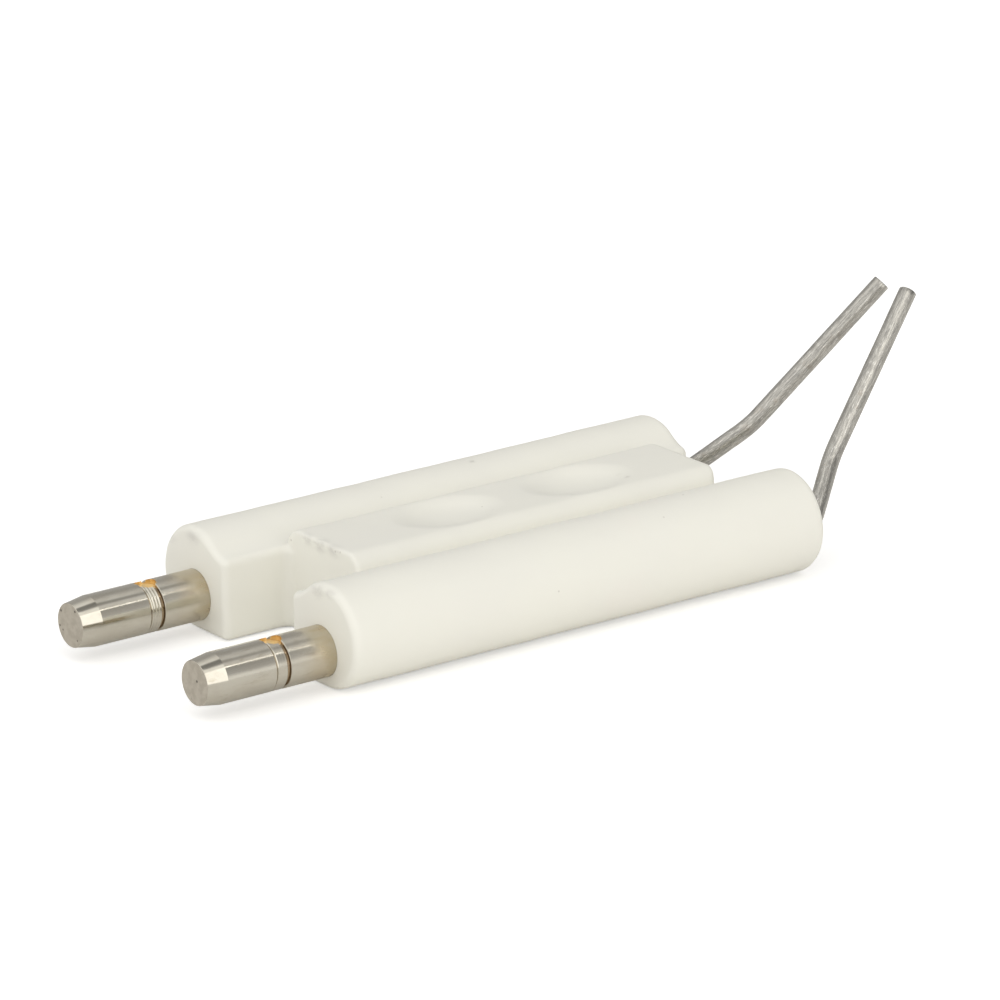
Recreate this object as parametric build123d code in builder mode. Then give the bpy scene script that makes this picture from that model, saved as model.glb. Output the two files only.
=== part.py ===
from build123d import *
import os

# Double ignition electrode of an oil burner: one ceramic block carries two plug pins and two wires.
# Frame: origin at the centre of the block's flat underside, +X towards the spark gap, +Z up.
# Left is the +Y side and right is the -Y side. All sizes are in millimetres.

# Ceramic block
block_length = 70.0
barrel_radius = 6.5
barrel_pitch = 28.0
notch_half_width = 7.0
notch_front_depth = 9.5
notch_rear_depth = 6.3
notch_corner_radius = 0.8
shelf_height = 10.5
shelf_corner_radius = 1.2
shelf_valley_radius = 1.0
foot_corner_radius = 1.0
end_edge_radius = 0.9
crown_height = 12.7
crown_half_width = 7.6
crown_shoulder_radius = 2.6
crown_rear_radius = 2.2
crown_edge_radius = 0.45

# Oval dishes in the crown, where a clamp presses
dish_stations = (-7.0, 12.3)
dish_radii = (8.5, 6.0, 3.0)
dish_depth = 1.2

# Bores through the barrels
bore_spacing = 26.6
bore_height = 4.6
pin_bore_radius = 3.3
pin_bore_depth = 13.0
wire_bore_radius = 1.5
rear_bore_radius = 2.3
rear_bore_depth = 3.0

# Plug pins: stations are measured forward from the block's front face
pin_radius = 3.175
pin_reach = 18.0
pin_tip_radius = 2.76
pin_cone_length = 2.7
pin_tip_edge = 0.12
scribe_station = 8.25
scribe_width = 0.2
scribe_depth = 0.18
groove_station = 6.4
groove_width = 0.55
groove_depth = 0.28
cross_hole_station = 7.2
cross_hole_radius = 1.3
head_depth = 2.0
shank_radius = 2.7
shank_length = 10.0
key_stations = (-5.0, -8.5)
key_width = 1.2
key_depth = 0.35
socket_reach = 9.0

# Wires
wire_radius = 1.125
wire_start_reach = 8.6
wire_exit_run = 3.4
wire_knee_point = (45.6, 8.2, 10.9)
wire_tip_point = (62.3, 2.6, 27.7)
wire_bend_radii = (4.4, 13.0)

# Braze and cement
fit_gap = 0.02
braze_rim_height = 2.55
braze_dip_height = 2.15
wire_cement_inset = 0.3

# How far a cut runs past the face it leaves, and how closely an edge's place is matched
overrun = 1.0
edge_margin = 0.1

front_face = -block_length / 2
rear_face = block_length / 2
web_front = front_face + notch_front_depth
web_rear = rear_face - notch_rear_depth
sides = {"left": 1, "right": -1}


def finish(piece, name):
    """Label a finished piece and write it to its own file."""
    piece.part.label = name
    export_step(piece.part, f"parts/{name}.step")


def bore_axis(side):
    """Centre line of one bore."""
    return Axis((0, side * bore_spacing / 2, bore_height), (1, 0, 0))


def bore_plane(side):
    """Upright plane through one bore: local x runs along +X, local y is the height above its axis."""
    return Plane(origin=(0, side * bore_spacing / 2, bore_height), x_dir=(1, 0, 0), z_dir=(0, -1, 0))


def section_plane(side, x):
    """Plane across one bore at x, centred on its axis."""
    return Plane(origin=(x, side * bore_spacing / 2, bore_height), x_dir=(0, 1, 0), z_dir=(1, 0, 0))


def distance_from_middle(edge):
    """How far an edge's centre is from the plane between the two barrels."""
    return abs(edge.center().Y)


def on_notch_rim(edge):
    """Whether an edge runs round one of the notches between the barrels."""
    return distance_from_middle(edge) < notch_half_width + edge_margin


def build_block():
    """One-piece insulator: two barrels joined by a web, with two oval dishes and the bores."""
    with BuildPart() as crown:
        # Raised top of the web: rounded shoulders along its sides and round corners at its rear
        with BuildSketch(Plane.YZ.offset(web_front)):
            with Locations((0, crown_height / 2)):
                Rectangle(2 * crown_half_width, crown_height)
        extrude(amount=web_rear - web_front)
        fillet(crown.edges().filter_by(Axis.X).group_by(Axis.Z)[-1], crown_shoulder_radius)
        with BuildSketch(Plane.XY) as crown_plan:
            with Locations(((web_front + web_rear) / 2, 0)):
                Rectangle(web_rear - web_front, 2 * crown_half_width)
            fillet(crown_plan.vertices().group_by(Axis.X)[-1], crown_rear_radius)
        extrude(amount=crown_height, mode=Mode.INTERSECT)
        foot = crown.faces().sort_by(Axis.Z)[0]
        front_edges = crown.faces().sort_by(Axis.X)[0].edges() - foot.edges()
        fillet(front_edges, crown_edge_radius)

    with BuildPart() as block:
        # Two barrels joined by a level shelf, cut back between them by a notch at each end
        with BuildSketch(Plane.YZ.offset(front_face)):
            for side in sides.values():
                with Locations((side * barrel_pitch / 2, barrel_radius)):
                    Circle(barrel_radius)
            with Locations((0, shelf_height / 2)):
                Rectangle(barrel_pitch, shelf_height)
        extrude(amount=block_length)
        with BuildSketch(Plane.XY):
            for end, depth in ((front_face, notch_front_depth), (rear_face, notch_rear_depth)):
                with Locations((end, 0)):
                    RectangleRounded(2 * depth, 2 * notch_half_width, notch_corner_radius)
        extrude(amount=shelf_height, mode=Mode.SUBTRACT)
        # Rounded rims of the notches, rounded valleys beside the barrels and rounded ends
        shelf_band = (shelf_height - edge_margin, shelf_height + edge_margin)
        shelf_edges = block.edges().filter_by(GeomType.LINE).filter_by_position(Axis.Z, *shelf_band)
        fillet(shelf_edges.filter_by(on_notch_rim), shelf_corner_radius)
        foot_edges = block.edges().group_by(Axis.Z)[0]
        fillet(foot_edges.filter_by(on_notch_rim), foot_corner_radius)
        valleys = block.edges().filter_by(Axis.X).filter_by_position(Axis.Z, *shelf_band)
        fillet(valleys.sort_by(distance_from_middle)[-2:], shelf_valley_radius)
        end_edges = block.edges().group_by(Axis.X)
        fillet(end_edges[0] + end_edges[-1], end_edge_radius)
        add(crown.part)
        # Oval dishes: the cap of an ellipsoid sunk into the crown
        dish = scale(Sphere(1, mode=Mode.PRIVATE), by=dish_radii, mode=Mode.PRIVATE)
        with Locations(*((x, 0, crown_height + dish_radii[2] - dish_depth) for x in dish_stations)):
            add(dish, mode=Mode.SUBTRACT)
        # Stepped bores: pin socket in front, wire passage, cement cup at the rear
        for side in sides.values():
            with BuildSketch(bore_plane(side)):
                with BuildLine():
                    Polyline(
                        (front_face - overrun, 0),
                        (front_face - overrun, pin_bore_radius),
                        (front_face + pin_bore_depth, pin_bore_radius),
                        (front_face + pin_bore_depth, wire_bore_radius),
                        (rear_face - rear_bore_depth, wire_bore_radius),
                        (rear_face - rear_bore_depth, rear_bore_radius),
                        (rear_face + overrun, rear_bore_radius),
                        (rear_face + overrun, 0),
                        close=True,
                    )
                make_face()
            revolve(axis=bore_axis(side), mode=Mode.SUBTRACT)
    return block


def build_pin(side):
    """Turned plug pin: cone, plain length, scribe line, groove, head and a keyed shank in the bore."""
    tip = front_face - pin_reach
    cone_end = tip + pin_cone_length
    scribe = front_face - scribe_station
    groove = front_face - groove_station
    head_end = front_face + head_depth
    shank_end = head_end + shank_length
    with BuildPart() as pin:
        with BuildSketch(bore_plane(side)):
            with BuildLine():
                Polyline(
                    (tip, 0),
                    (tip, pin_tip_radius),
                    (cone_end, pin_radius),
                    (head_end, pin_radius),
                    (head_end, shank_radius),
                    (shank_end, shank_radius),
                    (shank_end, 0),
                    close=True,
                )
            make_face()
            with Locations((scribe - scribe_width / 2, pin_radius - scribe_depth / 2)):
                Rectangle(scribe_width, scribe_depth, mode=Mode.SUBTRACT)
            with Locations((groove - groove_width / 2, pin_radius - groove_depth / 2)):
                Rectangle(groove_width, groove_depth, mode=Mode.SUBTRACT)
            with Locations(*((front_face - x, shank_radius - key_depth / 2) for x in key_stations)):
                Rectangle(key_width, key_depth, mode=Mode.SUBTRACT)
        revolve(axis=bore_axis(side))
        fillet(pin.edges().group_by(Axis.X)[0], pin_tip_edge)
        # Socket for the wire's end, from the shank forward, and the cross hole that reaches it
        with BuildSketch(section_plane(side, shank_end)):
            Circle(wire_radius + fit_gap)
        extrude(amount=-(shank_end - front_face + socket_reach), mode=Mode.SUBTRACT)
        with BuildSketch(cross_hole_plane(side)):
            Circle(cross_hole_radius)
        extrude(amount=pin_radius + overrun, mode=Mode.SUBTRACT)
    return pin


def cross_hole_plane(side):
    """Level plane through a pin's axis, centred under its cross hole."""
    station = front_face - cross_hole_station
    return Plane(origin=(station, side * bore_spacing / 2, bore_height), z_dir=(0, 0, 1))


def build_wire(side):
    """Electrode rod: straight through the bore, then bent up and inwards in two bends."""
    knee_x, knee_y, knee_z = wire_knee_point
    tip_x, tip_y, tip_z = wire_tip_point
    start_x = front_face - wire_start_reach
    with BuildPart() as wire:
        with BuildLine():
            FilletPolyline(
                (start_x, side * bore_spacing / 2, bore_height),
                (rear_face + wire_exit_run, side * bore_spacing / 2, bore_height),
                (knee_x, side * knee_y, knee_z),
                (tip_x, side * tip_y, tip_z),
                radius=wire_bend_radii,
            )
        with BuildSketch(section_plane(side, start_x)):
            Circle(wire_radius)
        sweep()
    return wire


def build_braze(side):
    """Braze metal in a pin's cross hole, dished on top and lying on the wire."""
    with BuildPart() as braze:
        with BuildSketch(cross_hole_plane(side)):
            Circle(cross_hole_radius - fit_gap)
        extrude(amount=braze_rim_height)
        # Shallow round dish in its top
        rise = braze_rim_height - braze_dip_height
        dish_radius = (cross_hole_radius**2 + rise**2) / (2 * rise)
        centre = cross_hole_plane(side).origin + Vector(0, 0, braze_dip_height + dish_radius)
        with Locations(centre):
            Sphere(dish_radius, mode=Mode.SUBTRACT)
        with BuildSketch(section_plane(side, front_face)):
            Circle(wire_radius + fit_gap)
        extrude(amount=-2 * cross_hole_station, mode=Mode.SUBTRACT)
    return braze


def build_pin_cement(side):
    """Cement sleeve between a pin's shank and its bore, keyed into the shank's grooves."""
    start = front_face + head_depth + fit_gap
    end = front_face + head_depth + shank_length
    with BuildPart() as sleeve:
        with BuildSketch(section_plane(side, start)):
            Circle(pin_bore_radius - fit_gap)
            Circle(shank_radius + fit_gap, mode=Mode.SUBTRACT)
        extrude(amount=end - start)
        for station in key_stations:
            with BuildSketch(section_plane(side, front_face - station - key_width / 2 + fit_gap)):
                Circle(shank_radius + key_depth)
                Circle(shank_radius - key_depth + fit_gap, mode=Mode.SUBTRACT)
            extrude(amount=key_width - 2 * fit_gap)
    return sleeve


def build_wire_cement(side):
    """Cement plug round a wire in the cup at the rear of its bore."""
    with BuildPart() as plug:
        with BuildSketch(section_plane(side, rear_face - rear_bore_depth + fit_gap)):
            Circle(rear_bore_radius - fit_gap)
            Circle(wire_radius + fit_gap, mode=Mode.SUBTRACT)
        extrude(amount=rear_bore_depth - wire_cement_inset)
    return plug


os.makedirs("parts", exist_ok=True)
finish(build_block(), "ceramic_block")
for hand, side in sides.items():
    finish(build_pin(side), f"terminal_pin_{hand}")
    finish(build_wire(side), f"electrode_wire_{hand}")
    finish(build_braze(side), f"braze_fill_{hand}")
    finish(build_pin_cement(side), f"pin_cement_{hand}")
    finish(build_wire_cement(side), f"wire_cement_{hand}")
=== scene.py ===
import math

import bmesh
import bpy
import numpy as np
from mathutils import Matrix, Vector


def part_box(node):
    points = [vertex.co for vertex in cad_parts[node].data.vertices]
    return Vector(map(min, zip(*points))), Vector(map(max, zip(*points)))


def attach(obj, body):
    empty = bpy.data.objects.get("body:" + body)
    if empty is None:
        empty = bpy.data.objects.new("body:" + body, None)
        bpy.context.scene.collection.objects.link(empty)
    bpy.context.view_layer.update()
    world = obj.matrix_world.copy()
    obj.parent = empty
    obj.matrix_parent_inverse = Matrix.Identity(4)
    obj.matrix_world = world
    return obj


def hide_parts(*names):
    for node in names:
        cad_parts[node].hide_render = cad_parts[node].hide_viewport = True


# Looks of the double ignition electrode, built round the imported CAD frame.
# The frame is in metres, with +X towards the spark gap, +Y to the left electrode and +Z up.
# Sizes in this file are in millimetres; mesh_piece() and store_points() write them as metres.

MM = 0.001
SEED = 7
VOXEL = 0.33
TINY = 1e-6

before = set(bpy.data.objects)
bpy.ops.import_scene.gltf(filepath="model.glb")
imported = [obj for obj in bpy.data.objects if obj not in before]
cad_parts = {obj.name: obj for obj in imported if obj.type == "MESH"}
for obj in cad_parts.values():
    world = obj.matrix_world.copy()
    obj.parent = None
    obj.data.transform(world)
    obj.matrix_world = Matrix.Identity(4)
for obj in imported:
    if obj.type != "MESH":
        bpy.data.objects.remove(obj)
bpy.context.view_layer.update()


def node_box(node):
    """Lowest and highest corner of a CAD node, in millimetres."""
    low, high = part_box(node)
    return np.array(low) / MM, np.array(high) / MM


# Driving dimensions, read from the frame
block_low, block_high = node_box("ceramic_block")
FRONT_FACE, REAR_FACE = block_low[0], block_high[0]
BARREL_RADIUS = block_high[2] / 2
BARREL_PITCH = 2 * (block_high[1] - BARREL_RADIUS)
pin_low, pin_high = node_box("terminal_pin_left")
PIN_TIP = pin_low[0]
PIN_END = pin_high[0]
PIN_RADIUS = (pin_high[1] - pin_low[1]) / 2
BORE_OFFSET = (pin_high[1] + pin_low[1]) / 2
BORE_HEIGHT = (pin_high[2] + pin_low[2]) / 2
WIRE_START = node_box("electrode_wire_left")[0][0]
braze_low, braze_high = node_box("braze_fill_left")
HOLE_STATION = (braze_low[0] + braze_high[0]) / 2
BRAZE_RIM = braze_high[2] - BORE_HEIGHT
BRAZE_RADIUS = (braze_high[0] - braze_low[0]) / 2
BRAZE_DIP = 0.12
cement_low, cement_high = node_box("wire_cement_left")

# Ceramic block
NOTCH_HALF_WIDTH = 7.0
WEB_FRONT = FRONT_FACE + 9.5
WEB_REAR = REAR_FACE - 6.3
NOTCH_CORNER = 1.5
SHELF_HEIGHT = 10.5
EDGE_RADIUS = 1.0
VALLEY_RADIUS = 1.0
CROWN_HEIGHT = 12.7
CROWN_HALF_WIDTH = 7.6
CROWN_SHOULDER = 2.6
CROWN_REAR_CORNER = 2.2
CROWN_EDGE = 0.45
CROWN_FOOT = 0.35
DISH_STATIONS = (-7.0, 12.3)
DISH_RADII = np.array((8.5, 6.0, 3.0))
DISH_DEPTH = 1.2
DISH_RIM = 0.5
BLOCK_SHARP_ANGLE = 50
PIN_BORE_RADIUS, PIN_BORE_DEPTH = 3.3, 13.0
WIRE_BORE_RADIUS = 1.5
REAR_BORE_RADIUS, REAR_BORE_DEPTH = 2.3, 3.0

# Plug pins: stations run back from the block's front face
TIP_RADIUS = 2.76
CONE_LENGTH = 2.7
SCRIBE_STATION, SCRIBE_WIDTH, SCRIBE_DEPTH = 8.25, 0.2, 0.18
GROOVE_STATION, GROOVE_WIDTH, GROOVE_DEPTH = 6.4, 0.55, 0.28
HOLE_RADIUS = 1.3
HEAD_DEPTH = 2.0
SHANK_RADIUS = 2.7
KEY_STATIONS, KEY_WIDTH, KEY_DEPTH = (5.0, 8.5), 1.2, 0.35
SOCKET_REACH = 9.0
PIN_SHARP_ANGLE = 6
RINGS_CUT = {"left": 0.06, "right": 0.004}

# Wires
WIRE_RADIUS = 1.125
FIT_GAP = 0.02
PIN_MOUTH_RADIUS = PIN_RADIUS + FIT_GAP
WIRE_EXIT_RUN = 3.4
WIRE_KNEE = (45.6, 8.2, 10.9)
WIRE_TIP = (62.3, 2.6, 27.7)
WIRE_BENDS = (4.4, 13.0)
WIRE_ARC_STEP, WIRE_RUN_STEP = 0.35, 0.7
WIRE_END_ROUND = 0.08

SIDES = {"left": 1, "right": -1}


# ---------------------------------------------------------------- mesh helpers


def new_object(name, mesh):
    """Put a mesh in the scene as an object of that name."""
    piece = bpy.data.objects.new(name, mesh)
    bpy.context.scene.collection.objects.link(piece)
    return piece


def mesh_piece(name, points, faces, sharp_angle=35):
    """Object from points in millimetres; faces are turned outwards and smooth up to a sharp angle."""
    mesh = bpy.data.meshes.new(name)
    mesh.from_pydata([tuple(np.asarray(p) * MM) for p in points], [], faces)
    mesh.validate()
    shape = bmesh.new()
    shape.from_mesh(mesh)
    bmesh.ops.recalc_face_normals(shape, faces=shape.faces)
    shape.to_mesh(mesh)
    shape.free()
    mesh.shade_smooth()
    mesh.set_sharp_from_angle(angle=math.radians(sharp_angle))
    return new_object(name, mesh)


def apply_modifiers(piece):
    """Make the piece's modifiers part of its mesh."""
    depsgraph = bpy.context.evaluated_depsgraph_get()
    made = bpy.data.meshes.new_from_object(piece.evaluated_get(depsgraph))
    piece.modifiers.clear()
    piece.data = made


def mesh_points(mesh):
    """A mesh's points as an array in millimetres."""
    flat = np.empty(3 * len(mesh.vertices))
    mesh.vertices.foreach_get("co", flat)
    return flat.reshape(-1, 3) / MM


def store_points(mesh, points):
    """Write points in millimetres back to the mesh."""
    mesh.vertices.foreach_set("co", (points * MM).ravel())
    mesh.update()


def store_values(mesh, name, values):
    """Keep one number for each of the mesh's points, for a material to read."""
    layer = mesh.attributes.new(name, "FLOAT", "POINT")
    layer.data.foreach_set("value", np.asarray(values, np.float32))


def store_vectors(mesh, name, vectors):
    """Keep one vector for each of the mesh's points, for a material to read."""
    layer = mesh.attributes.new(name, "FLOAT_VECTOR", "POINT")
    layer.data.foreach_set("vector", np.asarray(vectors, np.float32).ravel())


def rough_field(points, scale, seed):
    """Smooth random field between about -1 and 1 whose bumps are about scale millimetres across."""
    random = np.random.default_rng(seed)
    field = np.zeros(len(points))
    waves = 14
    for _ in range(waves):
        direction = random.normal(size=3)
        direction *= 2 * math.pi / (scale * random.uniform(0.8, 1.8) * np.linalg.norm(direction))
        field += np.sin(points @ direction + random.uniform(0, 2 * math.pi))
    return field / math.sqrt(waves)


def ring_faces(rings, segments, closed_ends=False):
    """Quads between neighbouring rings of points, with an optional cap on the first and last ring."""
    faces = []
    for ring in range(rings - 1):
        for step in range(segments):
            here, beside = ring * segments + step, ring * segments + (step + 1) % segments
            faces.append((here, beside, beside + segments, here + segments))
    if closed_ends:
        faces.append(tuple(range(segments - 1, -1, -1)))
        faces.append(tuple(range((rings - 1) * segments, rings * segments)))
    return faces


def smooth_step(value, start, end):
    """0 at start, 1 at end, with a smooth rise between them."""
    share = np.clip((value - start) / (end - start), 0, 1)
    return share * share * (3 - 2 * share)


# ---------------------------------------------------------------- ceramic block


def round_both(first, second, radius):
    """Distance to where two solids overlap, with their shared edge rounded off."""
    corner = np.hypot(np.maximum(first + radius, 0), np.maximum(second + radius, 0))
    return np.minimum(np.maximum(first, second), -radius) + corner


def round_either(first, second, radius):
    """Distance to two joined solids, with a fillet of that radius in the corner between them."""
    return -round_both(-first, -second, radius)


def notch_distance(x, across):
    """Distance to the room of the two notches between the barrels."""
    depth = np.minimum(x - WEB_FRONT, WEB_REAR - x)
    return round_both(depth, across - NOTCH_HALF_WIDTH, NOTCH_CORNER)


def crown_distance(x, across, z):
    """Distance to the raised top of the web."""
    beyond = 0.5
    section = round_both(across - CROWN_HALF_WIDTH, z - CROWN_HEIGHT, CROWN_SHOULDER)
    corner_radius = CROWN_REAR_CORNER + beyond
    plan = round_both(across - CROWN_HALF_WIDTH - beyond, x - WEB_REAR, corner_radius)
    crown = round_both(section, plan, CROWN_EDGE)
    crown = round_both(crown, WEB_FRONT - x, CROWN_EDGE)
    return np.maximum(crown, SHELF_HEIGHT - 2 * EDGE_RADIUS - z)


def block_distance(points):
    """Signed distance from points in millimetres to the ceramic's surface before it is bored."""
    x, across, z = points[:, 0], np.abs(points[:, 1]), points[:, 2]
    barrel = np.hypot(across - BARREL_PITCH / 2, z - BARREL_RADIUS) - BARREL_RADIUS
    slab = np.maximum(np.maximum(z - SHELF_HEIGHT, -z), across - BARREL_PITCH / 2)
    filleted = round_either(barrel, slab, VALLEY_RADIUS)
    profile = np.where(z > SHELF_HEIGHT / 2, filleted, np.minimum(barrel, slab))
    body = round_both(profile, -notch_distance(x, across), EDGE_RADIUS)
    ends = np.maximum(FRONT_FACE - x, x - REAR_FACE)
    body = round_both(body, ends, EDGE_RADIUS)
    crown = crown_distance(x, across, z)
    fade = 1.0
    foot = CROWN_FOOT * smooth_step(x, WEB_FRONT, WEB_FRONT + fade)
    foot *= smooth_step(-x, -WEB_REAR, fade - WEB_REAR)
    block = round_either(body, crown, foot + TINY)
    for station in DISH_STATIONS:
        centre = np.array((station, 0, CROWN_HEIGHT + DISH_RADII[2] - DISH_DEPTH))
        reach = np.linalg.norm((points - centre) / DISH_RADII, axis=1)
        slope = np.linalg.norm((points - centre) / DISH_RADII**2, axis=1)
        dish = reach * (reach - 1) / np.maximum(slope, TINY)
        block = round_both(block, -dish, DISH_RIM)
    return block


def slope_of(distance, points):
    """Gradient of a distance function at points."""
    step = 0.01
    shifts = np.eye(3) * step
    sides = [distance(points + shift) - distance(points - shift) for shift in shifts]
    return np.stack(sides, axis=1) / (2 * step)


def settle_on(distance, points, rounds=3):
    """Move points along the slope of a distance function until they lie on its surface."""
    furthest = 0.3
    least_steep = 0.05
    shortest = 1e-9
    for _ in range(rounds):
        slope = slope_of(distance, points)
        steepness = np.maximum((slope**2).sum(axis=1), least_steep)
        step = distance(points)[:, None] * slope / steepness[:, None]
        length = np.maximum(np.linalg.norm(step, axis=1, keepdims=True), shortest)
        points = points - step * np.minimum(1, furthest / length)
    return points


def relax(points, edges):
    """Move each point halfway to the mean of its neighbours, so that the mesh is even."""
    total = np.zeros_like(points)
    count = np.zeros(len(points))
    for here, there in ((0, 1), (1, 0)):
        np.add.at(total, edges[:, here], points[edges[:, there]])
        np.add.at(count, edges[:, here], 1)
    return (points + total / np.maximum(count, 1)[:, None]) / 2


def mesh_edges(mesh):
    """A mesh's edges as pairs of point numbers."""
    pairs = np.empty(2 * len(mesh.edges), np.int64)
    mesh.edges.foreach_get("vertices", pairs)
    return pairs.reshape(-1, 2)


def scuff_values(points):
    """Where handling has left grey marks: the upper rims of the front faces and the web's front edge."""
    marks = np.zeros(len(points))
    barrel, rim = BARREL_PITCH / 2, FRONT_FACE + 0.4
    web = WEB_FRONT + 0.1
    scuffs = (
        ((rim, barrel - 0.3, 11.8), 1.2),
        ((rim, barrel + 4.4, 10.3), 0.9),
        ((rim - 0.1, -barrel + 1.3, 11.9), 1.3),
        ((rim - 0.1, -barrel - 1.2, 12.1), 0.8),
        ((web, 3.2, CROWN_HEIGHT - 0.4), 1.1),
        ((web, 0.6, CROWN_HEIGHT - 0.5), 1.5),
        ((web, -2.3, CROWN_HEIGHT - 0.5), 1.2),
    )
    stretch = np.array((0.6, 1, 0.6))
    for place, size in scuffs:
        reach = (points - np.array(place)) / (stretch * size)
        marks = np.maximum(marks, np.exp(-(reach**2).sum(axis=1)))
    return marks


def speck_values(points):
    """Small dark specks fired into the crown beside the dishes and into the left barrel."""
    marks = np.zeros(len(points))
    size = 0.28
    places = (
        (17.9, -2.9, CROWN_HEIGHT),
        (18.0, -0.9, CROWN_HEIGHT),
        (8.7, -4.0, CROWN_HEIGHT),
        (-2.1, -2.1, CROWN_HEIGHT),
        (6.3, BARREL_PITCH / 2 - 0.6, 2 * BARREL_RADIUS),
    )
    for place in places:
        reach = np.linalg.norm(points - np.array(place), axis=1) / size
        marks = np.maximum(marks, np.exp(-(reach**2)))
    return marks


def turned_points(outline, segments, centre_y, centre_z):
    """Points of an outline turned round a line parallel to X, ring by ring."""
    points = []
    for station, radius in outline:
        for step in range(segments):
            angle = 2 * math.pi * step / segments
            y, z = centre_y + radius * math.sin(angle), centre_z + radius * math.cos(angle)
            points.append((station, y, z))
    return points


def turned_piece(name, outline, side, segments=128, sharp_angle=PIN_SHARP_ANGLE):
    """Closed solid of revolution round one bore's axis; the outline starts and ends on the axis."""
    ring = turned_points(outline[1:-1], segments, side * BORE_OFFSET, BORE_HEIGHT)
    start = (outline[0][0], side * BORE_OFFSET, BORE_HEIGHT)
    end = (outline[-1][0], side * BORE_OFFSET, BORE_HEIGHT)
    faces = ring_faces(len(outline) - 2, segments)
    last_ring = (len(outline) - 3) * segments
    for step in range(segments):
        beside = (step + 1) % segments
        faces.append((len(ring), beside, step))
        faces.append((len(ring) + 1, last_ring + step, last_ring + beside))
    return mesh_piece(name, ring + [start, end], faces, sharp_angle)


def cut_away(piece, cutter):
    """Take a closed solid's room out of a piece, and remove the solid."""
    cut = piece.modifiers.new("cut", "BOOLEAN")
    cut.operation = "DIFFERENCE"
    cut.solver = "EXACT"
    cut.object = cutter
    apply_modifiers(piece)
    bpy.data.objects.remove(cutter)


def bore_filler(side):
    """Round bar that fills a bore of the CAD block before it is remeshed."""
    inside, overlap = 0.05, 0.5
    start, end, radius = FRONT_FACE + inside, REAR_FACE - inside, PIN_BORE_RADIUS + overlap
    return turned_piece("bore_filler", [(start, 0), (start, radius), (end, radius), (end, 0)], side)


def bore_cutter(side):
    """Room of one bore: a close mouth, the pin's cemented socket, the wire's passage and a rear cup."""
    beyond = 2
    start, end = FRONT_FACE - beyond, REAR_FACE + beyond
    mouth_end = FRONT_FACE + HEAD_DEPTH
    socket_end, cup_start = FRONT_FACE + PIN_BORE_DEPTH, REAR_FACE - REAR_BORE_DEPTH
    outline = [(start, 0), (start, PIN_MOUTH_RADIUS), (mouth_end, PIN_MOUTH_RADIUS)]
    outline += [(mouth_end, PIN_BORE_RADIUS), (socket_end, PIN_BORE_RADIUS)]
    outline += [(socket_end, WIRE_BORE_RADIUS), (cup_start, WIRE_BORE_RADIUS)]
    outline += [(cup_start, REAR_BORE_RADIUS), (end, REAR_BORE_RADIUS), (end, 0)]
    return turned_piece("bore_cutter", outline, side)


def solid_block():
    """The CAD block with its bores filled and its surface remeshed evenly."""
    piece = new_object("ceramic_body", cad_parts["ceramic_block"].data.copy())
    shape = bmesh.new()
    shape.from_mesh(piece.data)
    for side in SIDES.values():
        filler = bore_filler(side)
        shape.from_mesh(filler.data)
        bpy.data.objects.remove(filler)
    shape.to_mesh(piece.data)
    shape.free()
    remesh = piece.modifiers.new("remesh", "REMESH")
    remesh.mode = "VOXEL"
    remesh.voxel_size = VOXEL * MM
    apply_modifiers(piece)
    return piece


def build_block():
    """Ceramic block: settled on smooth surfaces, slightly uneven, and then bored."""
    piece = solid_block()
    edges = mesh_edges(piece.data)
    points = mesh_points(piece.data)
    for _ in range(4):
        points = settle_on(block_distance, relax(points, edges), rounds=2)
    normals = slope_of(block_distance, points)
    normals /= np.maximum(np.linalg.norm(normals, axis=1, keepdims=True), TINY)
    broad, broad_width = 0.028, 9.0
    fine, fine_width = 0.01, 2.6
    sunk = 0.03
    uneven = broad * rough_field(points, broad_width, SEED)
    uneven += fine * rough_field(points, fine_width, SEED + 1)
    inside = np.minimum(0, uneven - sunk)
    store_points(piece.data, points + normals * inside[:, None])
    for side in SIDES.values():
        cut_away(piece, bore_cutter(side))
    points = mesh_points(piece.data)
    store_values(piece.data, "scuff", scuff_values(points))
    store_values(piece.data, "speck", speck_values(points))
    piece.data.shade_smooth()
    piece.data.set_sharp_from_angle(angle=math.radians(BLOCK_SHARP_ANGLE))
    piece.data.materials.clear()
    piece.data.materials.append(ceramic_material())
    return piece


# ---------------------------------------------------------------- plug pins


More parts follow.
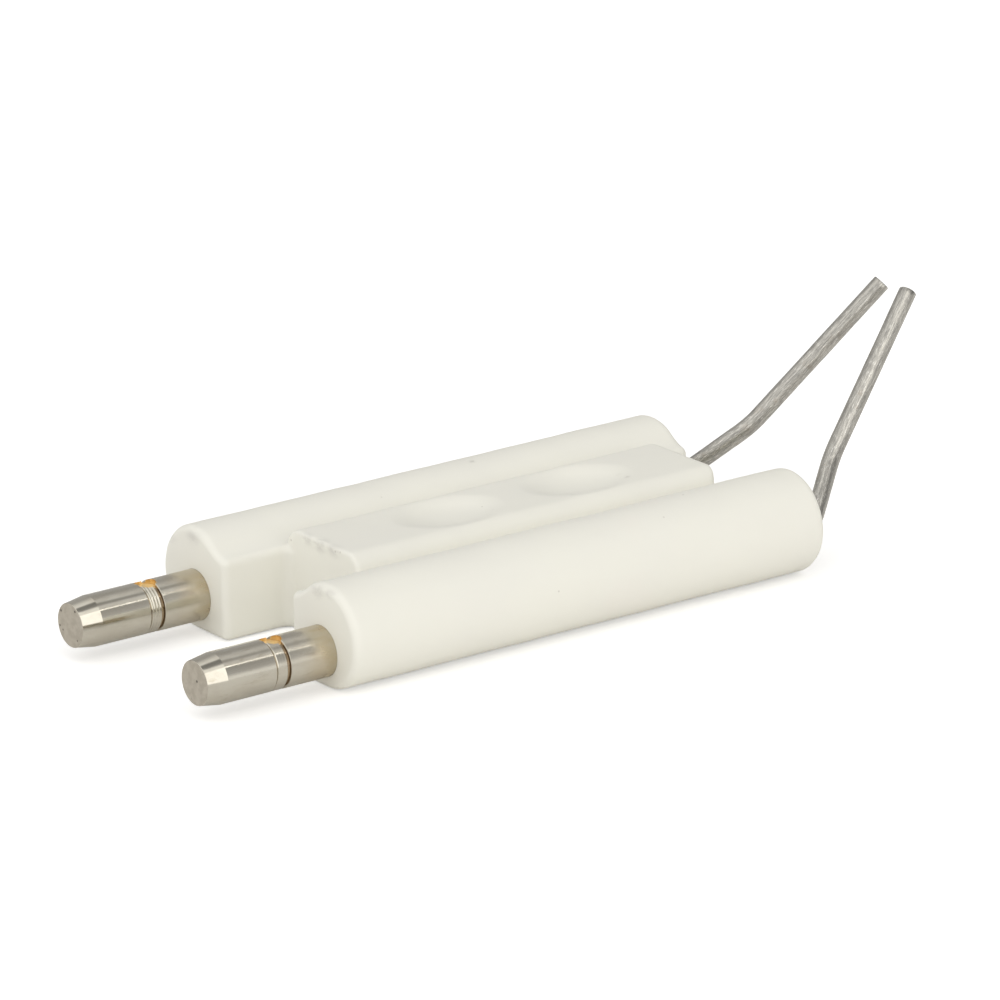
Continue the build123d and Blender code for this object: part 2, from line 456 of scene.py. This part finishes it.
def pin_outline(rings_cut):
    """Half section of a pin as (station, radius) points, from the middle of its tip to its socket.

    Steps of 0.01 to 0.1 mm beside the scribe line, the groove and the head's end are worn edges.
    """
    scribe = FRONT_FACE - SCRIBE_STATION
    groove = FRONT_FACE - GROOVE_STATION
    outline = [(PIN_TIP, 0.0), (PIN_TIP, TIP_RADIUS - 0.2)]
    edge = 0.14
    for turn in (0.35, 0.7, 1.0):
        angle = turn * math.pi / 2
        centre = PIN_TIP + edge, TIP_RADIUS - edge
        outline.append((centre[0] - edge * math.cos(angle), centre[1] + edge * math.sin(angle)))
    outline.append((PIN_TIP + CONE_LENGTH, PIN_RADIUS))
    outline += [(scribe - SCRIBE_WIDTH - 0.05, PIN_RADIUS), (scribe - SCRIBE_WIDTH, PIN_RADIUS - 0.03)]
    outline += [(scribe - SCRIBE_WIDTH / 2, PIN_RADIUS - SCRIBE_DEPTH), (scribe, PIN_RADIUS - 0.04)]
    band_start, band_end = scribe + 0.05, groove - GROOVE_WIDTH
    band_radius = PIN_RADIUS - 0.02
    turns = 3
    for turn in range(turns):
        middle = band_start + (turn + 0.5) * (band_end - band_start) / turns
        half = 0.42 * (band_end - band_start) / turns
        outline += [(middle - half, band_radius), (middle, band_radius - rings_cut)]
        outline += [(middle + half, band_radius)]
    outline += [(band_end + 0.03, PIN_RADIUS - 0.06), (band_end + 0.1, PIN_RADIUS - GROOVE_DEPTH)]
    outline += [(groove - 0.08, PIN_RADIUS - GROOVE_DEPTH), (groove - 0.01, PIN_RADIUS - 0.05)]
    head_end = FRONT_FACE + HEAD_DEPTH
    outline += [(groove + 0.06, PIN_RADIUS), (head_end - 0.1, PIN_RADIUS), (head_end, PIN_RADIUS - 0.1)]
    outline += [(head_end, SHANK_RADIUS)]
    for station in KEY_STATIONS:
        key_start, key_end = FRONT_FACE + station - KEY_WIDTH / 2, FRONT_FACE + station + KEY_WIDTH / 2
        outline += [(key_start, SHANK_RADIUS), (key_start, SHANK_RADIUS - KEY_DEPTH)]
        outline += [(key_end, SHANK_RADIUS - KEY_DEPTH), (key_end, SHANK_RADIUS)]
    outline += [(PIN_END - 0.2, SHANK_RADIUS), (PIN_END, SHANK_RADIUS - 0.2)]
    outline += [(PIN_END, WIRE_RADIUS + FIT_GAP)]
    outline += [(FRONT_FACE - SOCKET_REACH, WIRE_RADIUS + FIT_GAP), (FRONT_FACE - SOCKET_REACH, 0.0)]
    return outline


def divide(outline, longest):
    """The same outline with its long straight stretches divided."""
    divided = [outline[0]]
    for start, end in zip(outline, outline[1:]):
        parts = max(1, math.ceil(math.dist(start, end) / longest))
        for part in range(1, parts + 1):
            share = part / parts
            divided.append(tuple(a + (b - a) * share for a, b in zip(start, end)))
    return divided


def hole_cutter(side):
    """Upright round bar through a pin's top, which cuts its cross hole."""
    segments = 64
    points = []
    for height in (0.0, PIN_RADIUS + 1):
        for step in range(segments):
            angle = 2 * math.pi * step / segments
            across = side * BORE_OFFSET + HOLE_RADIUS * math.sin(angle)
            along = HOLE_STATION + HOLE_RADIUS * math.cos(angle)
            points.append((along, across, BORE_HEIGHT + height))
    return mesh_piece("hole_cutter", points, ring_faces(2, segments, closed_ends=True))


def build_pin(hand, side):
    """Turned and nickel-plated plug pin with a cross hole in its top."""
    longest = 0.45
    outline = divide(pin_outline(RINGS_CUT[hand]), longest)
    piece = turned_piece(f"plug_pin_{hand}", outline, side)
    cut_away(piece, hole_cutter(side))
    piece.data.set_sharp_from_angle(angle=math.radians(PIN_SHARP_ANGLE))
    points = mesh_points(piece.data)
    hole = np.hypot(points[:, 0] - HOLE_STATION, points[:, 1] - side * BORE_OFFSET)
    in_hole = (hole < HOLE_RADIUS + 0.01) & (points[:, 2] > BORE_HEIGHT)
    store_values(piece.data, "gilt", in_hole)
    radii = np.hypot(points[:, 1] - side * BORE_OFFSET, points[:, 2] - BORE_HEIGHT)
    # Depth into the scribe line and groove, for the material's painted shade there.
    grooved = points[:, 0] > FRONT_FACE - SCRIBE_STATION - 2 * SCRIBE_WIDTH
    store_values(piece.data, "painted_groove_shade", np.clip((PIN_RADIUS - radii) / GROOVE_DEPTH, 0, 1) * grooved)
    piece.data.materials.append(nickel_material())
    return piece


def build_braze(hand, side):
    """Gold-coloured braze in a pin's cross hole, dished and slightly lumpy on top."""
    segments, rings = 48, 14
    rim = BRAZE_RIM - 0.03
    lump_size, lump_height, highest = 1.1, 0.04, 0.03
    points = []
    for ring in range(rings):
        radius = BRAZE_RADIUS * (ring + 1) / rings
        for step in range(segments):
            angle = 2 * math.pi * step / segments
            dish = BRAZE_DIP * (1 - (radius / BRAZE_RADIUS) ** 2)
            along, across = radius * math.cos(angle), radius * math.sin(angle)
            points.append((along, across, rim - dish))
    points = np.array(points)
    lumps = lump_height * rough_field(points, lump_size, SEED + 10 + side)
    points[:, 2] += np.minimum(lumps, highest)
    foot = points[-segments:].copy()
    foot[:, 2] = WIRE_RADIUS + FIT_GAP
    top_middle = (0, 0, rim - BRAZE_DIP)
    faces = ring_faces(rings + 1, segments)
    middle = (rings + 1) * segments
    faces += [(middle, step, (step + 1) % segments) for step in range(segments)]
    faces.append(tuple(range(middle - 1, middle - 1 - segments, -1)))
    centre = np.array((HOLE_STATION, side * BORE_OFFSET, BORE_HEIGHT))
    piece = mesh_piece(f"braze_{hand}", [p + centre for p in [*points, *foot, top_middle]], faces)
    piece.data.materials.append(braze_material())
    return piece


# ---------------------------------------------------------------- wires


def filleted_path(corners, radii, step):
    """Points along straight runs joined by tangent arcs, no further apart than step in the arcs."""
    corners = [Vector(c) for c in corners]
    path = [corners[0]]
    for before, corner, after, radius in zip(corners, corners[1:], corners[2:], radii):
        back, ahead = (before - corner).normalized(), (after - corner).normalized()
        half_turn = (math.pi - back.angle(ahead)) / 2
        centre = corner + (back + ahead).normalized() * radius / math.cos(half_turn)
        start = corner + back * radius * math.tan(half_turn) - centre
        end = corner + ahead * radius * math.tan(half_turn) - centre
        parts = max(2, math.ceil(2 * half_turn * radius / step))
        path += [centre + start.slerp(end, part / parts) * radius for part in range(parts + 1)]
    path.append(corners[-1])
    return path


def divided_path(path, longest):
    """A path with its long runs divided."""
    divided = [path[0]]
    for start, end in zip(path, path[1:]):
        parts = max(1, math.ceil((end - start).length / longest))
        divided += [start.lerp(end, part / parts) for part in range(1, parts + 1)]
    return divided


def wire_sections(path, side):
    """Rings of points round a path with, for each point, how far along and where round it lies."""
    segments = 48
    edge, unevenness = 0.1, 0.012
    random = np.random.default_rng(SEED + 20 + side)
    tangents = [(b - a).normalized() for a, b in zip(path[:-1], path[1:])]
    tangents.append(tangents[-1])
    upright = Vector((0, 0, 1))
    points, lies, run = [], [], 0.0
    sizes = [WIRE_RADIUS - edge] + [WIRE_RADIUS] * (len(path) - 2) + [WIRE_RADIUS - edge]
    wobble = np.convolve(random.normal(size=len(path) + 8), np.ones(9) / 9, mode="valid")
    for number, (centre, tangent) in enumerate(zip(path, tangents)):
        sideways = tangent.cross(upright).normalized()
        upright = sideways.cross(tangent).normalized()
        run += (centre - path[max(number - 1, 0)]).length
        size = sizes[number] - unevenness * min(1, abs(wobble[number]) * 2)
        for step in range(segments):
            angle = 2 * math.pi * step / segments
            around = sideways * math.cos(angle) + upright * math.sin(angle)
            points.append(centre + around * size)
            lies.append((run, math.cos(angle), math.sin(angle)))
    return points, lies, segments


def build_wire(hand, side):
    """Drawn electrode wire along its bent path, with cut ends."""
    offset = side * BORE_OFFSET
    knee_x, knee_y, knee_z = WIRE_KNEE
    tip_x, tip_y, tip_z = WIRE_TIP
    corners = (
        (WIRE_START, offset, BORE_HEIGHT),
        (REAR_FACE + WIRE_EXIT_RUN, offset, BORE_HEIGHT),
        (knee_x, side * knee_y, knee_z),
        (tip_x, side * tip_y, tip_z),
    )
    path = divided_path(filleted_path(corners, WIRE_BENDS, WIRE_ARC_STEP), WIRE_RUN_STEP)
    first = (path[1] - path[0]).normalized() * WIRE_END_ROUND
    last = (path[-1] - path[-2]).normalized() * WIRE_END_ROUND
    path = [path[0], path[0] + first] + path[1:-1] + [path[-1] - last, path[-1]]
    points, lies, segments = wire_sections(path, side)
    faces = ring_faces(len(path), segments, closed_ends=True)
    piece = mesh_piece(f"spark_wire_{hand}", points, faces, sharp_angle=60)
    store_vectors(piece.data, "lie", lies)
    piece.data.materials.append(wire_material())
    return piece


def build_wire_cement(hand, side):
    """Cement round a wire where it leaves the block: a shallow, uneven ring."""
    segments, rings = 64, 8
    inner, outer = WIRE_RADIUS + FIT_GAP, REAR_BORE_RADIUS - FIT_GAP
    dish, lump_size, lump_height = 0.22, 0.9, 0.07
    points = []
    for ring in range(rings + 1):
        share = ring / rings
        radius = inner + (outer - inner) * share
        dip = dish * math.sin(math.pi * share)
        for step in range(segments):
            angle = 2 * math.pi * step / segments
            points.append((cement_high[0] - dip, radius * math.sin(angle), radius * math.cos(angle)))
    points = np.array(points)
    lumps = lump_height * rough_field(points, lump_size, SEED + 30 + side)
    points[:, 0] += np.minimum(lumps, 0)
    back_outer = points[-segments:].copy()
    back_inner = points[:segments].copy()
    back_outer[:, 0] = back_inner[:, 0] = cement_low[0]
    everything = np.concatenate([points, back_outer, back_inner])
    rows = rings + 3
    faces = ring_faces(rows, segments)
    last_row = (rows - 1) * segments
    for step in range(segments):
        beside = (step + 1) % segments
        faces.append((step, beside, last_row + beside, last_row + step))
    centre = np.array((0, side * BORE_OFFSET, BORE_HEIGHT))
    piece = mesh_piece(f"cement_ring_{hand}", everything + centre, faces)
    piece.data.materials.append(cement_material())
    return piece


# ---------------------------------------------------------------- materials


class Nodes:
    """A material's node tree with short calls for the nodes that this file uses."""

    def __init__(self, name):
        self.material = bpy.data.materials.new(name)
        self.material.use_nodes = True
        self.tree = self.material.node_tree
        self.shader = self.tree.nodes["Principled BSDF"]

    def add(self, kind, **inputs):
        """New node; each keyword names an input (underscores stand for spaces) and its value or link."""
        node = self.tree.nodes.new(kind)
        for name, value in inputs.items():
            self.join(value, node.inputs[name.replace("_", " ")])
        return node

    def join(self, value, socket):
        """Set a socket to a value, or link it to another node's output."""
        if isinstance(value, bpy.types.NodeSocket):
            self.tree.links.new(value, socket)
        else:
            socket.default_value = value

    def places(self, scale=(1, 1, 1)):
        """Place on the object in millimetres, times a scale for each axis."""
        source = self.add("ShaderNodeTexCoord").outputs["Object"]
        return self.add("ShaderNodeMapping", Vector=source, Scale=[s / MM for s in scale]).outputs[0]

    def layer(self, name, output="Fac"):
        """Values that the mesh keeps for its points."""
        node = self.add("ShaderNodeAttribute")
        node.attribute_name = name
        return node.outputs[output]

    def noise(self, places, scale, detail=3.0, roughness=0.55):
        """Noise whose bumps number scale in a millimetre."""
        node = self.add("ShaderNodeTexNoise", Vector=places, Scale=scale, Detail=detail)
        node.inputs["Roughness"].default_value = roughness
        return node.outputs["Fac"]

    def rise(self, value, low, high, start=0.0, end=1.0):
        """Smooth rise from start to end as value goes from low to high."""
        node = self.tree.nodes.new("ShaderNodeMapRange")
        node.interpolation_type = "SMOOTHSTEP"
        for socket, given in zip(node.inputs, (value, low, high, start, end)):
            self.join(given, socket)
        return node.outputs[0]

    def sums(self, operation, first, second=0.0):
        """Arithmetic on one or two values."""
        node = self.tree.nodes.new("ShaderNodeMath")
        node.operation = operation
        self.join(first, node.inputs[0])
        self.join(second, node.inputs[1])
        return node.outputs[0]

    def mix(self, share, first, second):
        """Colour between two colours."""
        node = self.tree.nodes.new("ShaderNodeMix")
        node.data_type = "RGBA"
        self.join(share, node.inputs["Factor"])
        for name, value in (("A", first), ("B", second)):
            socket = next(s for s in node.inputs if s.name == name and s.type == "RGBA")
            self.join(value if isinstance(value, bpy.types.NodeSocket) else (*value, 1.0), socket)
        return next(s for s in node.outputs if s.type == "RGBA")

    def bump(self, height, distance, strength=1.0):
        """Bumps of that depth in millimetres, joined to the shader."""
        node = self.add("ShaderNodeBump", Height=height, Strength=strength, Distance=distance * MM)
        self.tree.links.new(node.outputs[0], self.shader.inputs["Normal"])

    def surface(self, **inputs):
        """Set or link the shader's inputs, and return the finished material."""
        for name, value in inputs.items():
            if isinstance(value, tuple) and len(value) == 3:
                value = (*value, 1.0)
            self.join(value, self.shader.inputs[name.replace("_", " ")])
        return self.material


def ceramic_material():
    """Unglazed ivory ceramic: satin, faintly mottled, with a few dark specks and grey scuffs."""
    nodes = Nodes("ivory_ceramic")
    places = nodes.places()
    mottle = nodes.noise(places, 0.09, 2.0)
    colour = nodes.mix(nodes.rise(mottle, 0.35, 0.65), (0.872, 0.862, 0.788), (0.862, 0.851, 0.783))
    blush = nodes.noise(nodes.places((0.9, 1, 1.1)), 0.14, 1.0)
    colour = nodes.mix(nodes.rise(blush, 0.6, 0.75, 0, 0.35), colour, (0.862, 0.832, 0.770))
    cells = nodes.add("ShaderNodeTexVoronoi", Vector=places, Scale=0.55)
    rare = nodes.add("ShaderNodeSeparateColor", Color=cells.outputs["Color"])
    chosen = nodes.rise(rare.outputs[0], 0.93, 0.99)
    dot = nodes.rise(cells.outputs["Distance"], 0.03, 0.11, 0.5, 0)
    specks = nodes.sums("MULTIPLY", chosen, dot)
    colour = nodes.mix(specks, colour, (0.42, 0.38, 0.33))
    colour = nodes.mix(nodes.sums("MULTIPLY", nodes.layer("speck"), 0.55), colour, (0.36, 0.33, 0.29))
    grain = nodes.noise(nodes.places((1, 0.5, 1)), 0.9, 5.0, 0.6)
    rub = nodes.sums("MULTIPLY", nodes.layer("scuff"), nodes.rise(grain, 0.34, 0.62))
    colour = nodes.mix(nodes.sums("MULTIPLY", rub, 0.42), colour, (0.42, 0.40, 0.38))
    relief = nodes.noise(places, 1.6, 5.0, 0.6)
    nodes.bump(relief, 0.012, 0.35)
    rough = nodes.rise(nodes.noise(places, 0.6, 3.0), 0.3, 0.7, 0.44, 0.54)
    return nodes.surface(Base_Color=colour, Roughness=rough, IOR=1.5)


def nickel_material():
    """Turned nickel plating: bright, with a tan tint towards the ceramic, painted shade in the grooves,
    and a dull end.
    """
    nodes = Nodes("nickel_plating")
    places = nodes.places()
    station = nodes.add("ShaderNodeSeparateXYZ", Vector=places).outputs[0]
    cloud = nodes.noise(nodes.places((0.5, 1, 1)), 0.5, 4.0, 0.6)
    # Tan tint that grows towards the ceramic, in patches.
    tint_by_block = nodes.rise(station, FRONT_FACE - 6.0, FRONT_FACE - 0.3, 0, 0.8)
    tint_by_block = nodes.sums("MULTIPLY", tint_by_block, nodes.rise(cloud, 0.35, 0.65, 0.6, 1.2))
    colour = nodes.mix(nodes.rise(cloud, 0.4, 0.6), (0.60, 0.57, 0.495), (0.565, 0.53, 0.455))
    colour = nodes.mix(tint_by_block, colour, (0.56, 0.475, 0.335))
    stain = nodes.noise(nodes.places((0.3, 1.1, 1.1)), 0.8, 5.0, 0.65)
    colour = nodes.mix(nodes.rise(stain, 0.56, 0.74, 0, 0.45), colour, (0.36, 0.30, 0.21))
    # Painted shade: darker brown with depth into the scribe line and groove.
    painted_groove_shade = nodes.layer("painted_groove_shade")
    colour = nodes.mix(nodes.rise(painted_groove_shade, 0.25, 0.9, 0, 0.85), colour, (0.30, 0.21, 0.12))
    colour = nodes.mix(nodes.layer("gilt"), colour, (0.88, 0.69, 0.41))
    face = nodes.rise(station, PIN_TIP + 0.02, PIN_TIP + 0.1, 1, 0)
    patchy = nodes.rise(nodes.noise(places, 1.1, 4.0), 0.35, 0.65)
    dull = nodes.mix(patchy, (0.46, 0.42, 0.355), (0.54, 0.50, 0.43))
    colour = nodes.mix(face, colour, dull)
    pits = nodes.add("ShaderNodeTexVoronoi", Vector=places, Scale=0.8).outputs["Distance"]
    pit = nodes.sums("MULTIPLY", face, nodes.rise(pits, 0.08, 0.17, 0.85, 0))
    colour = nodes.mix(pit, colour, (0.06, 0.05, 0.045))
    rough = nodes.rise(station, PIN_TIP + 6, FRONT_FACE, 0.11, 0.24)
    rough = nodes.sums("ADD", rough, nodes.rise(cloud, 0.35, 0.7, 0, 0.05))
    rough = nodes.sums("MAXIMUM", rough, nodes.sums("MULTIPLY", face, 0.45))
    turning = nodes.noise(nodes.places((9, 0.1, 0.1)), 1.0, 2.0)
    nodes.bump(turning, 0.0015, 0.25)
    return nodes.surface(Base_Color=colour, Metallic=1.0, Roughness=rough)


def wire_material():
    """Drawn heating wire: grey, with bright and dark streaks along its length."""
    nodes = Nodes("drawn_wire")
    lie = nodes.layer("lie", "Vector")
    streaks = nodes.add("ShaderNodeMapping", Vector=lie, Scale=(0.22, 3.4, 3.4)).outputs[0]
    fine = nodes.noise(streaks, 2.0, 5.0, 0.7)
    scratches = nodes.add("ShaderNodeMapping", Vector=lie, Scale=(1.1, 11, 11)).outputs[0]
    scratch = nodes.noise(scratches, 1.0, 4.0, 0.7)
    colour = nodes.mix(nodes.rise(fine, 0.3, 0.7), (0.30, 0.29, 0.27), (0.60, 0.58, 0.53))
    colour = nodes.mix(nodes.rise(scratch, 0.54, 0.68, 0, 0.85), colour, (0.92, 0.90, 0.85))
    colour = nodes.mix(nodes.rise(scratch, 0.46, 0.34, 0, 0.6), colour, (0.22, 0.21, 0.20))
    grime = nodes.noise(nodes.places(), 0.7, 3.0)
    colour = nodes.mix(nodes.rise(grime, 0.58, 0.75, 0, 0.4), colour, (0.34, 0.28, 0.22))
    nodes.bump(nodes.sums("ADD", fine, scratch), 0.03, 0.7)
    rough = nodes.rise(fine, 0.3, 0.7, 0.36, 0.22)
    return nodes.surface(Base_Color=colour, Metallic=1.0, Roughness=rough)


def braze_material():
    """Gold-coloured braze metal, dull and slightly mottled."""
    nodes = Nodes("braze_metal")
    cloud = nodes.noise(nodes.places(), 1.2, 3.0, 0.6)
    colour = nodes.mix(nodes.rise(cloud, 0.35, 0.7), (0.86, 0.63, 0.30), (0.66, 0.44, 0.19))
    nodes.bump(cloud, 0.02, 0.4)
    return nodes.surface(Base_Color=colour, Metallic=0.45, Roughness=0.35)


def cement_material():
    """Matt, fine-grained sealing cement."""
    nodes = Nodes("sealing_cement")
    places = nodes.places()
    grain = nodes.noise(places, 5.0, 5.0, 0.75)
    colour = nodes.mix(nodes.rise(grain, 0.35, 0.65), (0.66, 0.63, 0.56), (0.78, 0.755, 0.69))
    nodes.bump(grain, 0.06, 0.7)
    return nodes.surface(Base_Color=colour, Roughness=0.9)


# ---------------------------------------------------------------- studio


def floor_sheet(name, height):
    """Large level sheet of the studio."""
    half = 3000
    corners = [(x, y, height) for x, y in ((-half, -half), (half, -half), (half, half), (-half, half))]
    sheet = mesh_piece(name, corners, [(0, 1, 2, 3)])
    return sheet


def build_floor():
    """Plain white floor that the camera sees, over a pale card that gives the light from below."""
    floor = floor_sheet("studio_floor", 0)
    white = Nodes("white_floor")
    glow = {"Emission_Color": (1.0, 1.0, 1.0), "Emission_Strength": 0.38}
    floor.data.materials.append(white.surface(Base_Color=(0.9, 0.9, 0.9), Roughness=0.9, **glow))
    for rays in ("diffuse", "glossy", "transmission", "shadow"):
        setattr(floor, f"visible_{rays}", False)
    card = floor_sheet("bounce_card", -0.05)
    pale = Nodes("pale_card")
    card.data.materials.append(pale.surface(Base_Color=(0.92, 0.91, 0.89), Roughness=0.9))
    card.visible_camera = False


# Soft patches of the studio tent: direction, inner and outer half angle in degrees, brightness added
TENT = {
    "base": ((0, 0, 1), 180, 181, 0.70),
    "front": ((0.1, -0.95, 0.2), 30, 75, 0.35),
    "left_end": ((-0.95, 0.35, 0.2), 20, 65, 0.50),
    "right_end": ((1.0, -0.1, 0.3), 20, 60, -0.35),
    "far_side": ((0, 0.95, 0.25), 30, 75, -0.20),
    "top": ((0, 0, 1), 15, 50, 0.40),
    "roof": ((0.3, -0.1, 0.95), 8, 17, -0.80),
    "shoulder": ((0.6, -0.6, 0.45), 10, 24, -0.40),
}
EVERYWHERE = (-1.001, -1.0)


def build_tent():
    """World light: an even white tent with brighter and darker soft patches."""
    world = bpy.data.worlds.new("studio_tent")
    bpy.context.scene.world = world
    world.use_nodes = True
    tree = world.node_tree
    shader = tree.nodes["Background"]
    direction = tree.nodes.new("ShaderNodeTexCoord").outputs["Generated"]
    total = None
    for name, (towards, inner, outer, brightness) in TENT.items():
        facing = tree.nodes.new("ShaderNodeVectorMath")
        facing.operation = "DOT_PRODUCT"
        tree.links.new(direction, facing.inputs[0])
        facing.inputs[1].default_value = Vector(towards).normalized()
        patch = tree.nodes.new("ShaderNodeMapRange")
        patch.name = name
        patch.interpolation_type = "SMOOTHSTEP"
        patch.clamp = True
        tree.links.new(facing.outputs["Value"], patch.inputs[0])
        edges = (math.cos(math.radians(outer)), math.cos(math.radians(inner)))
        if inner >= 180:
            edges = EVERYWHERE
        patch.inputs[1].default_value, patch.inputs[2].default_value = edges
        patch.inputs[3].default_value, patch.inputs[4].default_value = 0.0, brightness
        if total is None:
            total = patch.outputs[0]
            continue
        both = tree.nodes.new("ShaderNodeMath")
        tree.links.new(total, both.inputs[0])
        tree.links.new(patch.outputs[0], both.inputs[1])
        total = both.outputs[0]
    tree.links.new(total, shader.inputs["Strength"])
    shader.inputs["Color"].default_value = (1.0, 0.992, 0.972, 1.0)


def soft_light(name, direction, distance, width, height, brightness, colour=(1, 1, 1)):
    """Area light aimed at the block from a direction; brightness is what a mirror would show of it."""
    data = bpy.data.lights.new(name, "AREA")
    data.shape = "RECTANGLE"
    data.size, data.size_y = width * MM, height * MM
    data.energy = brightness * math.pi * width * height * MM**2
    data.color = colour
    light = bpy.data.objects.new(name, data)
    bpy.context.scene.collection.objects.link(light)
    towards = Vector(direction).normalized()
    light.location = towards * distance * MM
    light.rotation_mode = "QUATERNION"
    light.rotation_quaternion = towards.to_track_quat("Z", "Y")
    light.visible_camera = False
    return light


def build_lights():
    """Softbox on the right electrode's side, whose edge shows on the pins' cones, and a strip overhead.

    The strip is thin, and draws the fine highlight along the pins and wires.
    """
    soft_light("softbox", (0.12, -0.88, 0.46), 1100, 670, 1100, 0.7, (1.0, 0.975, 0.93))
    soft_light("strip", (0.554, -0.391, 0.735), 900, 340, 24, 3.4, (1.0, 0.97, 0.92))


# Camera: distance in millimetres, angles in degrees, lens in millimetres of a 36 mm wide sensor
CAMERA_DISTANCE = 918
CAMERA_AZIMUTH, CAMERA_ELEVATION, CAMERA_ROLL = -125.6, 18.1, 1.25
CAMERA_AIM = (1.6, 1.1, 12.0)
CAMERA_LENS = 272


def build_camera():
    """Long-lens camera beyond the plug end, on the right electrode's side, with a slight roll."""
    azimuth, elevation = math.radians(CAMERA_AZIMUTH), math.radians(CAMERA_ELEVATION)
    roll = math.radians(CAMERA_ROLL)
    level_reach = math.cos(elevation)
    towards = (level_reach * math.cos(azimuth), level_reach * math.sin(azimuth), math.sin(elevation))
    ahead = -Vector(towards)
    level = ahead.cross(Vector((0, 0, 1))).normalized()
    upright = level.cross(ahead)
    across = level * math.cos(roll) - upright * math.sin(roll)
    above = upright * math.cos(roll) + level * math.sin(roll)
    data = bpy.data.cameras.new("camera")
    data.lens = CAMERA_LENS
    data.sensor_width = 36
    data.clip_start, data.clip_end = 0.01, 20
    camera = bpy.data.objects.new("camera", data)
    bpy.context.scene.collection.objects.link(camera)
    turn = Matrix((across, above, -ahead)).transposed().to_4x4()
    place = (Vector(CAMERA_AIM) - ahead * CAMERA_DISTANCE) * MM
    camera.matrix_world = Matrix.Translation(place) @ turn
    bpy.context.scene.camera = camera


# ---------------------------------------------------------------- assembly


def stand_for(piece, node):
    """The piece rides on the root body and stands for a CAD node, which is hidden."""
    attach(piece, "root")
    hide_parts(node)


def dress_hidden_cement():
    """The cement inside the pin bores keeps its CAD shape."""
    cement = cement_material()
    for hand in SIDES:
        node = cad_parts[f"pin_cement_{hand}"]
        node.data.materials.clear()
        node.data.materials.append(cement)


build_camera()
build_floor()
build_tent()
build_lights()
stand_for(build_block(), "ceramic_block")
for hand, side in SIDES.items():
    stand_for(build_pin(hand, side), f"terminal_pin_{hand}")
    stand_for(build_wire(hand, side), f"electrode_wire_{hand}")
    stand_for(build_braze(hand, side), f"braze_fill_{hand}")
    stand_for(build_wire_cement(hand, side), f"wire_cement_{hand}")
dress_hidden_cement()

bpy.context.scene.view_settings.view_transform = "Standard"
